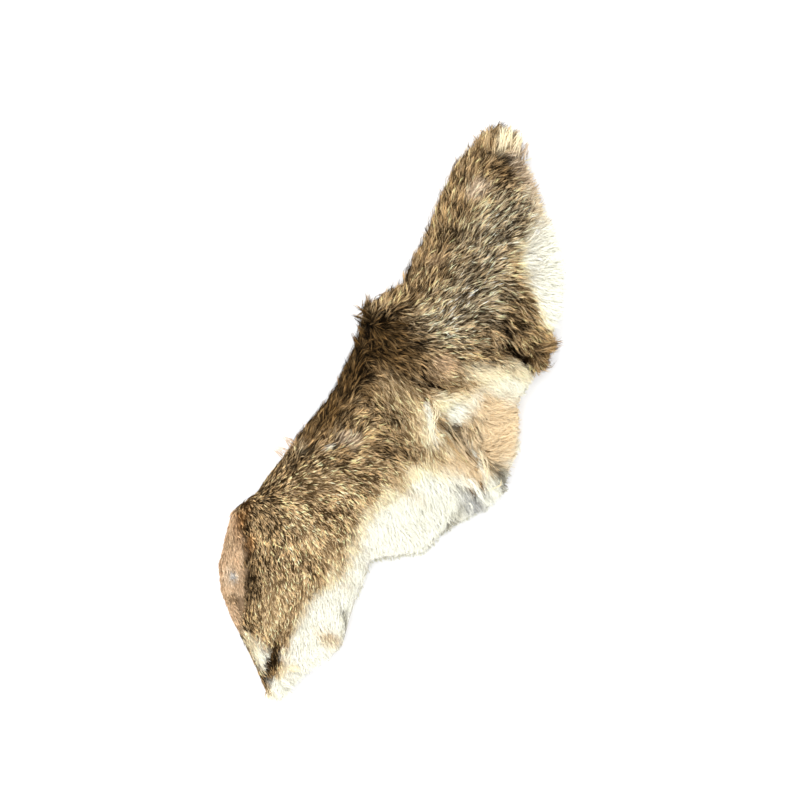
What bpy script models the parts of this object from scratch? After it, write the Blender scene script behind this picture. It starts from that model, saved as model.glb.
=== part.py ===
"""A rabbit pelt folded in half along its back and laid on its side with the fur outside.

The head end points along -Y and the rump along +Y. The fold of the back is the -X edge, and
the two belly edges lie on each other along the +X edge. The under half rests flat on z = 0.
Sizes are in millimetres until the mesh is placed.
"""

import math
import random

import bmesh
import bpy
import numpy as np
from mathutils import Matrix, Vector, noise

NAME = "pelt"
MILLIMETRE = 0.001

# How far the fur reaches at each section, from head to rump. back, belly and under are the x of
# the fur tips at the fold and at the belly edges of the upper and the under half. crown and rim
# are the fur's height near the fold and at the upper belly edge. white is where the agouti ends.
SECTION_COLUMNS = ("y", "back", "belly", "under", "crown", "rim", "white")
SECTIONS = (
    (-205, -15, 2, 0, 12, 11, -2),
    (-195, -25, 5, 2, 16, 12, -7),
    (-182, -40, 9, 5, 19, 13, -8),
    (-168, -57, 19, 12, 22, 15, -10),
    (-155, -69, 24, 17, 25, 15, -14),
    (-140, -77, 22, 18, 27, 16, -16),
    (-120, -81, 20, 20, 29, 17, -10),
    (-103, -84, 21, 22, 30, 18, -9),
    (-94, -82, 22, 25, 31, 18, -9),
    (-85, -78, 36, 38, 32, 18, -9),
    (-72, -76, 53, 58, 32, 18, -9),
    (-58, -73, 57, 64, 34, 19, -5),
    (-44, -70, 65, 68, 35, 20, 11),
    (-30, -67, 79, 74, 35, 20, 15),
    (-16, -63, 84, 78, 36, 21, 24),
    (0, -60, 81, 76, 36, 21, 32),
    (15, -60, 78, 70, 37, 22, 50),
    (30, -60, 71, 64, 37, 22, 56),
    (44, -62, 65, 62, 38, 22, 58),
    (56, -65, 68, 62, 38, 24, 64),
    (68, -59, 69, 62, 38, 24, 67),
    (80, -50, 72, 63, 37, 24, 68),
    (90, -49, 71, 63, 37, 22, 66),
    (97, -49, 66, 62, 37, 22, 54),
    (110, -48, 66, 61, 36, 22, 36),
    (125, -48, 61, 56, 36, 21, 22),
    (140, -49, 54, 49, 35, 21, 14),
    (153, -49, 44, 39, 32, 20, 12),
    (166, -50, 29, 25, 30, 19, 12),
    (178, -47, 14, 11, 28, 18, 9),
    (190, -44, 3, 1, 25, 17, 2),
    (201, -38, -4, -6, 21, 16, -8),
)

# Folds, partings and tufted mounds of the upper half, each along a line. rise is how far the
# fur stands up at the line, or sinks where it parts, and half_width is how fast that fades.
FOLD_COLUMNS = ("x1", "y1", "x2", "y2", "half_width", "rise")
FOLDS = (
    (-53, 60, -51, 34, 5, -9),
    (-51, 55, -33, 57, 5, -6),
    (-14, 31, 10, 30, 6, -5),
    (27, 87, 42, 78, 6, -6),
    (34, 72, 50, 73, 5, -7),
    (50, 73, 67, 62, 5, -7),
    (29, 10, 48, -2, 5, -6),
    (9, 22, 21, -10, 6, 3),
    (33, 26, 62, 14, 18, 4),
    (50, -34, 62, -38, 6, 3),
    (-2, 120, 34, 112, 28, 3),
    (-62, 64, -56, 44, 9, 4),
    (-62, -124, -51, -157, 5, -5),
    (-51, -157, -44, -177, 5, -4),
    (-22, -164, -11, -199, 5, -4),
    (-20, -157, 0, -190, 5, 2),
    (-6, -126, -2, -152, 6, -3),
    (13, -128, 18, -156, 6, 2),
)

# The locks at the rim: how far they lean towards the rump, in degrees, where they leave the fold
# and the belly edge, and how long they are
LOCK_COLUMNS = ("y", "back_lean", "belly_lean", "length")
LOCKS = (
    (-205, -45, -55, 8),
    (-150, -35, -50, 8),
    (-108, -15, -50, 8),
    (-90, 35, -45, 10),
    (-30, 48, -40, 12),
    (15, 50, -20, 12),
    (60, 50, -15, 13),
    (95, 50, 10, 12),
    (130, 50, 25, 12),
    (170, 50, 30, 13),
    (205, 50, 45, 14),
)

# The slab's ends, the step between its sections and the points round each of them
HEAD_Y, RUMP_Y = -203, 200
ROW_STEP = 5
FLOOR_POINTS, FOLD_POINTS, TOP_POINTS = 3, 4, 10

# The fur pressed under the hide, the slit between the halves and the fold at the back. Where the
# pelt is narrow, the fold takes a share of its width, and the gap in it a share of the fold.
UNDER_FUR, LEAST_FUR = 6.5, 3.5
SLIT, FOLD_GAP = 1.5, 3
FOLD_REACH, FOLD_SHARE, GAP_SHARE = 13, 0.4, 0.25

# The upper half's height at the fold as a share of its crown, how far across the crown lies, and
# how much of the fur's height is left at the rounded belly edge
FOLD_FULLNESS, CROWN_AT, RIM_ROUNDING = 0.86, 0.22, 0.55

# The fur's own unevenness: broad lumps and small tufts
LUMP_SIZE, LUMP_HEIGHT = 26, 3.2
TUFT_SIZE, TUFT_HEIGHT = 9, 1.1

# The slab ends this share of a lock's reach short of the fur tips
INSET_SHARE, LEAST_INSET = 0.8, 4

# The locks' spread in degrees and in length, the shorter ones' share of a full one, how far they
# hang down, and the height of the tips that lie on the floor
LOCK_SPREAD, LOCK_LENGTHS, SHORT_LOCK = 7, (0.65, 1.2), 0.8
LOCK_DROOP, UNDER_TIP_HEIGHT = 0.22, 1.3
END_LOCK_STEP = 4
SEED = 11

AGOUTI = (0.305, 0.205, 0.114)
WHITE = (0.90, 0.85, 0.74)
HIDE = (0.72, 0.60, 0.44)
FUR_ROUGHNESS, HIDE_ROUGHNESS = 0.95, 0.7


def clear_scene():
    for old in list(bpy.data.objects):
        bpy.data.objects.remove(old, do_unlink=True)


def make_material(name, colour, roughness):
    material = bpy.data.materials.new(name)
    material.use_nodes = True
    shader = material.node_tree.nodes["Principled BSDF"]
    shader.inputs["Base Color"].default_value = (*colour, 1.0)
    shader.inputs["Roughness"].default_value = roughness
    shader.inputs["Metallic"].default_value = 0.0
    return material


def table_at(columns, rows, y):
    """Reads every column of a table at the station y."""
    stations = [row[0] for row in rows]
    return {
        name: float(np.interp(y, stations, [row[column] for row in rows]))
        for column, name in enumerate(columns)
    }


def section_at(y):
    """The section at y, with the slab's own edges where the locks' roots lie."""
    section = table_at(SECTION_COLUMNS, SECTIONS, y) | table_at(LOCK_COLUMNS, LOCKS, y)
    back, belly = (
        max(LEAST_INSET, INSET_SHARE * section["length"] * math.cos(math.radians(section[lean])))
        for lean in ("back_lean", "belly_lean")
    )
    section["back"] += back
    section["belly"] -= belly
    section["under"] -= belly
    return section


def fold_rise(x, y):
    """The height that the folds, partings and lumps add to the upper half."""
    rise = LUMP_HEIGHT * noise.noise(Vector((x, y, 0)) / LUMP_SIZE)
    rise += TUFT_HEIGHT * noise.noise(Vector((x, y, LUMP_SIZE)) / TUFT_SIZE)
    for x1, y1, x2, y2, half_width, height in FOLDS:
        start, run = Vector((x1, y1)), Vector((x2 - x1, y2 - y1))
        along = (Vector((x, y)) - start).dot(run) / run.length_squared
        nearest = start + run * min(max(along, 0.0), 1.0)
        away = (Vector((x, y)) - nearest).length / half_width
        rise += height * math.exp(-away * away)
    return rise


def top_height(share, section):
    """The smooth height of the upper half, from the fold at share 0 to the belly at share 1."""
    crown, rim = section["crown"], section["rim"]
    if share < CROWN_AT:
        short = (CROWN_AT - share) / CROWN_AT
        return crown * (1 - (1 - FOLD_FULLNESS) * short * short)
    fall = (share - CROWN_AT) / (1 - CROWN_AT)
    return rim + (crown - rim) * math.cos(fall * math.pi / 2)


def section_loops(section):
    """The outside of the fur and the flesh side of one section.

    Both run from the under half's belly edge along the floor, round the fold and back over the
    upper half to its belly edge, with a point of one beside each point of the other.
    """
    y, back, belly, under = (section[name] for name in ("y", "back", "belly", "under"))
    reach = min(FOLD_REACH, FOLD_SHARE * (belly - back))
    fold_x = back + reach
    fold_top = FOLD_FULLNESS * section["crown"]
    gap = min(FOLD_GAP, GAP_SHARE * reach)
    fur, flesh = [], []
    for share in np.linspace(0, 1, FLOOR_POINTS):
        x = under + (fold_x - under) * share
        fur.append((x, y, 0))
        flesh.append((x, y, UNDER_FUR))
    for turn in np.linspace(0, math.pi, FOLD_POINTS + 2)[1:-1]:
        out, up = math.sin(turn), (1 - math.cos(turn)) / 2
        fur.append((fold_x - reach * out, y, fold_top * up))
        flesh.append((fold_x - gap / 2 * out, y, UNDER_FUR + gap * up))
    for share in np.linspace(0, 1, TOP_POINTS):
        x = fold_x + (belly - fold_x) * share
        ceiling = UNDER_FUR + max(SLIT, gap - (gap - SLIT) * share * TOP_POINTS / 2)
        height = top_height(share, section) + fold_rise(x, y)
        if share == 1:
            height = ceiling + (height - ceiling) * RIM_ROUNDING
        fur.append((x, y, max(height, ceiling + LEAST_FUR)))
        flesh.append((x, y, ceiling))
    return fur, flesh


def skin_loops(mesh):
    """Lofts the folded hide through its sections and returns the faces that can grow locks."""
    stations = np.linspace(HEAD_Y, RUMP_Y, round((RUMP_Y - HEAD_Y) / ROW_STEP) + 1)
    rows = []
    for y in stations:
        loops = section_loops(section_at(y))
        rows.append([[mesh.verts.new(point) for point in loop] for loop in loops])
    last = len(rows[0][0]) - 1
    sides = {"under": [], "belly": [], "back": [], "head": [], "rump": []}
    fold = range(FLOOR_POINTS - 1, FLOOR_POINTS + FOLD_POINTS)
    for (fur, flesh), (next_fur, next_flesh) in zip(rows, rows[1:]):
        for i in range(last):
            face = mesh.faces.new((fur[i], fur[i + 1], next_fur[i + 1], next_fur[i]))
            if i in fold:
                sides["back"].append((face, i - fold[0]))
            face = mesh.faces.new((flesh[i], next_flesh[i], next_flesh[i + 1], flesh[i + 1]))
            face.material_index = 2
        sides["under"].append(mesh.faces.new((fur[0], next_fur[0], next_flesh[0], flesh[0])))
        belly = (fur[last], flesh[last], next_flesh[last], next_fur[last])
        sides["belly"].append(mesh.faces.new(belly))
    for side, (fur, flesh) in (("head", rows[0]), ("rump", rows[-1])):
        for i in range(last):
            sides[side].append(mesh.faces.new((fur[i], fur[i + 1], flesh[i + 1], flesh[i])))
    bmesh.ops.recalc_face_normals(mesh, faces=mesh.faces)
    return sides


def paint_halves(mesh):
    """Gives the white material to the belly's fur, upper and under half alike."""
    for face in mesh.faces:
        centre = face.calc_center_median()
        section = table_at(SECTION_COLUMNS, SECTIONS, centre.y)
        if face.material_index == 0 and centre.x > section["white"]:
            face.material_index = 1


def grow_lock(mesh, face, outward, lean, length, tip_height=None):
    """Draws a face out to a pointed lock that leans towards the rump by lean degrees."""
    root = face.calc_center_median()
    turn = math.radians(lean if outward.x > 0 else -lean)
    way = Matrix.Rotation(turn, 3, "Z") @ outward
    tip = root + way * length
    tip.z = tip_height if tip_height is not None else root.z * (1 - LOCK_DROOP)
    point = bmesh.ops.poke(mesh, faces=[face])["verts"][0]
    point.co = tip


def grow_locks(mesh, sides):
    chance = random.Random(SEED)

    def grow(face, outward, lean_column=None, share=1.0, tip_height=None):
        station = table_at(LOCK_COLUMNS, LOCKS, face.calc_center_median().y)
        lean = station.get(lean_column, 0) + chance.uniform(-LOCK_SPREAD, LOCK_SPREAD)
        length = station["length"] * share * chance.uniform(*LOCK_LENGTHS)
        grow_lock(mesh, face, outward, lean, length, tip_height)

    for face in sides["belly"]:
        grow(face, Vector((1, 0, 0)), "belly_lean")
    for face in sides["under"][::2]:
        grow(face, Vector((1, 0, 0)), "belly_lean", SHORT_LOCK, UNDER_TIP_HEIGHT)
    for number, (face, level) in enumerate(sides["back"]):
        row = number // (FOLD_POINTS + 1)
        if level == 2:
            grow(face, Vector((-1, 0, 0)), "back_lean")
        elif level == 1 + 2 * (row % 2) and row % 4 < 2:
            grow(face, Vector((-1, 0, 0)), "back_lean", SHORT_LOCK)
    for side, way in (("head", -1), ("rump", 1)):
        for face in sides[side][FLOOR_POINTS::END_LOCK_STEP]:
            grow(face, Vector((0, way, 0)), share=SHORT_LOCK)


def centre_on_floor(pelt):
    """Puts the middle of the pelt's outline over the origin, with its underside on z = 0."""
    corners = [Vector(corner) for corner in pelt.bound_box]
    low = Vector([min(corner[i] for corner in corners) for i in range(3)])
    high = Vector([max(corner[i] for corner in corners) for i in range(3)])
    middle = (low + high) / 2
    pelt.data.transform(Matrix.Translation((-middle.x, -middle.y, -low.z)))


def make_pelt(collection):
    mesh = bmesh.new()
    sides = skin_loops(mesh)
    paint_halves(mesh)
    grow_locks(mesh, sides)
    bmesh.ops.triangulate(mesh, faces=mesh.faces)
    bmesh.ops.scale(mesh, vec=(MILLIMETRE,) * 3, verts=mesh.verts)
    data = bpy.data.meshes.new(NAME)
    mesh.to_mesh(data)
    mesh.free()
    data.materials.append(make_material("agouti_fur", AGOUTI, FUR_ROUGHNESS))
    data.materials.append(make_material("white_fur", WHITE, FUR_ROUGHNESS))
    data.materials.append(make_material("tanned_hide", HIDE, HIDE_ROUGHNESS))
    pelt = bpy.data.objects.new(NAME, data)
    collection.objects.link(pelt)
    centre_on_floor(pelt)
    return pelt


clear_scene()
pieces = bpy.data.collections.new("rabbit pelt")
bpy.context.scene.collection.children.link(pieces)
make_pelt(pieces)
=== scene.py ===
"""Looks of a rabbit pelt folded along its back and laid on its side with the fur outside.

The fur is grown over the part's own form: short wool, locks of banded hair over it and guard
hairs on top, all joined into a few meshes of tapered blades. Tables give the outline, the folds,
the way the hair lies and the colours in millimetres: x runs from the folded back to the belly
edges and y from the head to the rump.
"""

import math

import bpy
import numpy as np
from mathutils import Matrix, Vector, noise


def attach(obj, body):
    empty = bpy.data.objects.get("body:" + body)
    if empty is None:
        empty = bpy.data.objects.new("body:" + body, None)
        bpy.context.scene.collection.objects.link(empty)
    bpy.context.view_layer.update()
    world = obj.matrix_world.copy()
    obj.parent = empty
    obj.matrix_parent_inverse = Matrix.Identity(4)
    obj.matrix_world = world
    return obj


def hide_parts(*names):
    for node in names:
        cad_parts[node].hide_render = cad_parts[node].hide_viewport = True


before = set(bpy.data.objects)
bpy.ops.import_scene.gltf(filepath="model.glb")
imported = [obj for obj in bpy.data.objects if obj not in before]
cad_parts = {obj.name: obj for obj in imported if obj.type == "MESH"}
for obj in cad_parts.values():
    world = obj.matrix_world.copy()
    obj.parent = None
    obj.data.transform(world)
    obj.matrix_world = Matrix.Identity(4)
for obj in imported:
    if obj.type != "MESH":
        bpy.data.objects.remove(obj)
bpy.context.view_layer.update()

MILLIMETRE = 0.001
SEED = 20
TINY = 1e-9

# Where the tables' origin lies in the part's frame
TABLE_ORIGIN = (0.55, -1.54)

# How far the fur reaches at each section, as in the part: the x of the fold and of the upper and
# the under half's belly edges, and the fur's height near the fold and at the upper edge
SECTION_COLUMNS = ("y", "back", "belly", "under", "crown", "rim")
SECTIONS = (
    (-205, -15, 2, 0, 12, 11), (-195, -25, 5, 2, 16, 12), (-182, -40, 9, 5, 19, 13),
    (-168, -57, 19, 12, 22, 15), (-155, -69, 24, 17, 25, 15), (-140, -77, 22, 18, 27, 16),
    (-120, -81, 20, 20, 29, 17), (-103, -84, 21, 22, 30, 18), (-94, -82, 22, 25, 31, 18),
    (-85, -78, 36, 38, 32, 18), (-72, -76, 53, 58, 32, 18), (-58, -73, 57, 64, 34, 19),
    (-44, -70, 65, 68, 35, 20), (-30, -67, 79, 74, 35, 20), (-16, -63, 84, 78, 36, 21),
    (0, -60, 81, 76, 36, 21), (15, -60, 78, 70, 37, 22), (30, -60, 71, 64, 37, 22),
    (44, -62, 65, 62, 38, 22), (56, -65, 68, 62, 38, 24), (68, -59, 69, 62, 38, 24),
    (80, -50, 72, 63, 37, 24), (90, -49, 71, 63, 37, 22), (97, -49, 66, 62, 37, 22),
    (110, -48, 66, 61, 36, 22), (125, -48, 61, 56, 36, 21), (140, -49, 54, 49, 35, 21),
    (153, -49, 44, 39, 32, 20), (166, -50, 29, 25, 30, 19), (178, -47, 14, 11, 28, 18),
    (190, -44, 3, 1, 25, 17), (201, -38, -4, -6, 21, 16),
)

# Folds, partings and tufted mounds of the upper half, each a line from x1, y1 to x2, y2, then how
# fast it fades to the sides and how far the fur stands up at the line, or sinks where it parts
FOLDS = (
    (-53, 60, -51, 34, 5, -9), (-51, 55, -33, 57, 5, -6), (-14, 31, 10, 30, 4, -6),
    (27, 87, 42, 78, 5, -6), (34, 72, 50, 73, 4, -7), (50, 73, 67, 62, 4, -8), (44, 80, 66, 74, 8, 3),
    (29, 10, 48, -2, 4, -6), (9, 22, 21, -10, 6, 3), (33, 26, 62, 14, 18, 4), (50, -34, 62, -38, 6, 3),
    (-2, 120, 34, 112, 28, 3), (-62, 64, -56, 44, 9, 2), (-62, -124, -51, -157, 4, -5),
    (-51, -157, -44, -177, 4, -4), (-22, -164, -11, -199, 4, -4), (-20, -157, 0, -190, 5, 2),
    (-6, -126, -2, -152, 6, -3), (13, -128, 18, -156, 6, 2),
)

# Creases and pits where the coat parts, the hair is short and painted shade darkens it: a line and its
# half width, as above, and the share of its length that a hair loses on the line and of its colour that
# the painted shade takes
CREASES = (
    (36, 75, 66, 64, 1.8, 1.0), (34, 91, 33, 74, 2.2, 1.0), (-54, 54, -51, 34, 3.0, 1.0),
    (-37, 56, -28, 58, 1.6, 0.7), (-3, 30, 12, 29, 1.6, 1.0), (28, 11, 47, -1, 1.5, 0.8),
    (38, 26, 47, 6, 1.6, 0.45), (-22, -166, -11, -199, 1.0, 0.35), (-71, -104, -48, -153, 1.2, 0.6),
    (-20, 185, -7, 191, 1.2, 0.7), (61, -17, 63, -19, 1.6, 0.9), (56, -22, 59, -25, 1.6, 0.9),
)

# The way the hair lies. heading is where the tips point, in degrees from +X towards +Y.
FLOW_COLUMNS = ("x", "y", "heading", "length")
FLOW = (
    (-36, 200, 111, 17), (-11, 197, 87, 13), (-20, 196, 101, 15), (-8, 188, 20, 11),
    (-38, 187, 101, 15), (-18, 186, 37, 11), (-13, 178, 39, 12), (-30, 174, 89, 14), (-3, 174, 49, 13),
    (-41, 172, 89, 15), (13, 168, 59, 13), (-9, 167, 47, 13), (-20, 163, 67, 13), (21, 163, 63, 12),
    (-2, 161, 53, 14), (-42, 155, 91, 15), (8, 151, 65, 14), (-10, 150, 63, 15), (-32, 142, 91, 16),
    (40, 141, 40, 12), (5, 138, 59, 14), (-6, 136, 68, 15), (23, 130, 29, 13), (-25, 127, 87, 15),
    (-35, 125, 93, 16), (-13, 125, 81, 15), (7, 123, 59, 13), (17, 123, 13, 13), (52, 122, 20, 12),
    (-3, 115, 79, 14), (33, 115, 7, 13), (15, 112, 33, 12), (-37, 111, 93, 16), (-26, 106, 59, 14),
    (20, 104, 9, 12), (31, 103, -11, 13), (-17, 102, 51, 13), (10, 100, 59, 13), (44, 98, -15, 14),
    (-35, 93, 85, 15), (-13, 91, 80, 14), (54, 91, -19, 14), (-46, 89, 87, 15), (-25, 88, 75, 14),
    (9, 87, 49, 13), (42, 87, -19, 14), (61, 87, 17, 13), (-1, 86, 77, 13), (21, 85, 1, 12),
    (56, 79, -21, 14), (31, 78, -41, 12), (13, 77, 31, 12), (-11, 76, 73, 13), (-28, 75, 81, 14),
    (40, 72, -9, 12), (-41, 71, 87, 14), (2, 69, 47, 12), (56, 69, -23, 14), (-37, 65, 27, 13),
    (-60, 62, 119, 13), (-47, 62, 73, 12), (-15, 60, 47, 13), (11, 60, 11, 12), (27, 58, -3, 12),
    (56, 57, -5, 12), (-31, 56, 29, 13), (-3, 56, 29, 11), (-62, 52, 163, 11), (38, 51, -9, 12),
    (-11, 48, -3, 13), (-25, 47, 3, 13), (6, 45, -1, 10), (-39, 44, -31, 12), (22, 44, -13, 12),
    (-62, 43, 143, 11), (-46, 43, -57, 13), (-14, 39, -7, 14), (-59, 34, 121, 12), (-26, 33, -11, 13),
    (-1, 32, -7, 14), (33, 30, -35, 12), (46, 30, 35, 12), (-40, 28, -41, 13), (60, 28, 39, 12),
    (19, 25, 15, 12), (-58, 21, 101, 13), (41, 19, -57, 12), (-15, 18, -25, 13), (72, 18, 19, 12),
    (56, 17, 69, 12), (-27, 15, -35, 13), (-48, 13, 91, 13), (22, 13, 5, 8), (54, 9, 85, 12),
    (0, 8, -43, 13), (65, 8, 45, 12), (-35, 7, -47, 12), (35, 7, -27, 12), (77, 5, 11, 11),
    (-10, 2, -37, 13), (-47, 0, 87, 13), (40, -1, -29, 13), (46, -2, -25, 12), (-21, -4, -33, 12),
    (15, -4, -51, 13), (-56, -6, 83, 13), (73, -6, 5, 11), (-32, -8, 61, 12), (58, -8, -49, 12),
    (-43, -14, 67, 13), (9, -14, -35, 13), (79, -15, -5, 11), (65, -17, -25, 11), (-2, -19, -1, 13),
    (-13, -20, 11, 12), (18, -21, -45, 13), (-58, -24, 81, 13), (-31, -24, 101, 12),
    (57, -25, -35, 11), (7, -30, -27, 12), (-22, -31, 29, 8), (-43, -32, 85, 12), (66, -35, -35, 11),
    (-10, -36, 1, 8), (43, -36, -41, 12), (26, -37, -49, 13), (-57, -39, 81, 13), (-29, -41, 31, 8),
    (-66, -47, 81, 12), (-2, -47, -21, 8), (-42, -50, 45, 8), (58, -50, -41, 10), (-20, -51, 5, 7),
    (17, -56, -49, 10), (-54, -57, 67, 8), (-35, -63, 17, 7), (-13, -63, -27, 7), (-67, -64, 79, 7),
    (46, -65, -45, 12), (-48, -70, 31, 7), (-25, -71, -13, 7), (-58, -76, 41, 6), (-11, -79, -37, 7),
    (15, -79, -49, 8), (-70, -82, 69, 6), (-39, -82, -9, 6), (-26, -88, -29, 7), (-51, -89, -15, 6),
    (-63, -92, -23, 6), (-41, -98, -31, 6), (-9, -99, -45, 7), (-80, -101, -71, 5),
    (-65, -102, -49, 6), (-55, -106, -41, 6), (-24, -106, -41, 6), (6, -106, -51, 10.5),
    (-36, -118, -47, 6.5), (-10, -119, -53, 7.5), (-75, -125, -69, 4), (-57, -127, -59, 6),
    (-46, -127, -55, 6), (3, -132, -49, 8.5), (-24, -134, -55, 6.5), (20, -136, -51, 7.5),
    (-59, -143, -63, 4), (-35, -144, -55, 6.5), (-69, -148, -63, 4), (-43, -150, -55, 6),
    (-18, -158, -63, 6.5), (10, -158, -35, 7.5), (-56, -160, -49, 4), (-31, -167, -57, 6.5),
    (-42, -169, -47, 6), (-45, -172, -45, 5), (-14, -181, -69, 6.5), (6, -181, -43, 7.5),
    (-31, -182, -41, 6.5), (-20, -190, -51, 7.5), (-11, -197, -59, 6.5), (0, -198, -35, 7.5),
)

# The agouti coat ends at this line, from the rump round the hind leg's flap and down the belly,
# and the white side is closed by two corners far past the belly edge
WHITE_FROM = (
    (-21, 237), (-13, 211), (-2, 194), (4, 183), (19, 177), (16, 154), (16, 140), (23, 126), (33, 116),
    (45, 106), (56, 98), (65, 95), (94, 102), (105, 78), (73, 60), (41, 57), (34, 49), (28, 36),
    (12, 24), (16, 16), (37, -17), (24, -17), (14, -31), (4, -49), (-2, -66), (-4, -81), (-4, -94),
    (-6, -109), (-7, -123), (-13, -139), (-14, -153), (-11, -167), (-7, -180), (-7, -193), (-10, -202),
    (-5, -222),
)
FAR_X, FAR_Y = 200, 215

# The furs across that line, with the depths into the white side where each starts and is full,
# and how wide they fade at some places along y, as a share of those depths
BORDER_FURS = (("buff", -10, 0), ("cream", -2, 4), ("white", 4, 13))
BORDER_WIDTHS = ((-205, 0.4), (-140, 0.45), (-115, 1.0), (-20, 1.0), (20, 0.7), (70, 0.45), (205, 0.45))
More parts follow.
